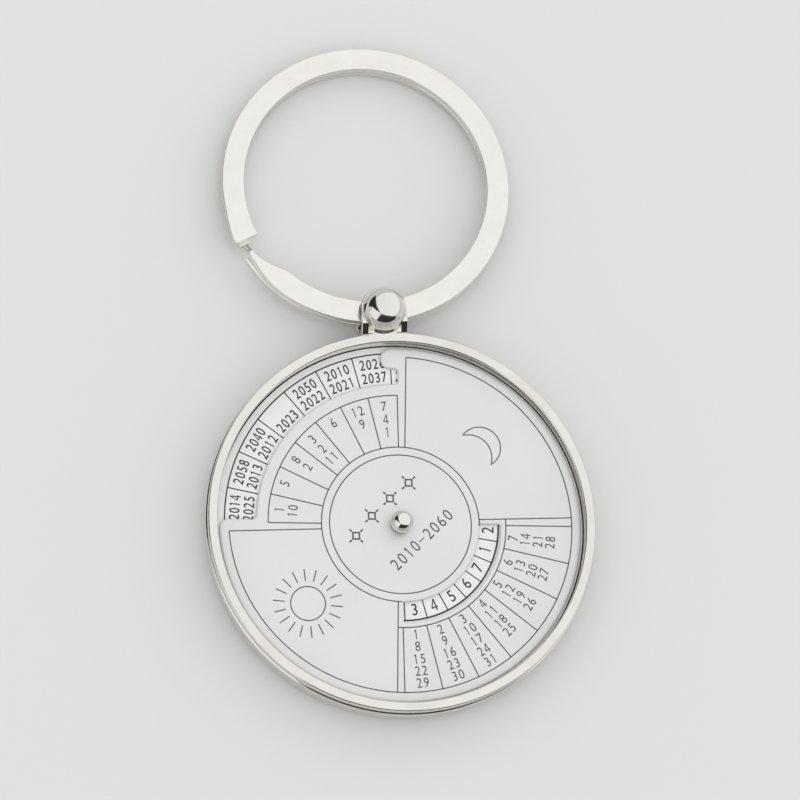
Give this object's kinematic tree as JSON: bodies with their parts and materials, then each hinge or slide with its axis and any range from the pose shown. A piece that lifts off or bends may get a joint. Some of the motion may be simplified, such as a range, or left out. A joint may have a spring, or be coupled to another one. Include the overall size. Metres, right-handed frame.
{
  "type": "perpetual calendar keyring",
  "caption": "Round polished keyring fob with a turning, windowed calendar disc over a year dial, hung from a flat split ring through a domed bail.",
  "frame": {"origin": "centre of the case's flat round back", "axes": "+Z out of the dial's face, +Y from the centre of the case towards the bail and the split ring"},
  "size_m": [0.0406, 0.0716, 0.007],
  "materials": {
    "case": "polished nickel plate on a zinc casting",
    "dial_adhesive": "white double-sided tape",
    "year_dial": "white printed sheet",
    "wave_washer": "bare spring steel",
    "window_disc": "satin light grey, printed",
    "centre_rivet": "polished nickel plate",
    "split_ring": "satin nickel plate"
  },
  "bodies": {
    "body": {"case": "case", "dial_adhesive": "dial_adhesive", "year_dial": "year_dial", "wave_washer": "wave_washer", "centre_rivet": "centre_rivet"},
    "disc": {"window_disc": "window_disc"},
    "ring": {"split_ring": "split_ring"}
  },
  "joints": [
    {"name": "disc_turn", "type": "hinge", "parent": "body", "child": "disc", "pos_m": [0, 0, 0.00249], "axis": [0, 0, 1], "continuous": true},
    {"name": "ring_swing", "type": "hinge", "parent": "body", "child": "ring", "pos_m": [0, 0.0225, 0.00258], "axis": [0.9996, 0.0279, 0], "range_deg": [-130, 148]}
  ]
}
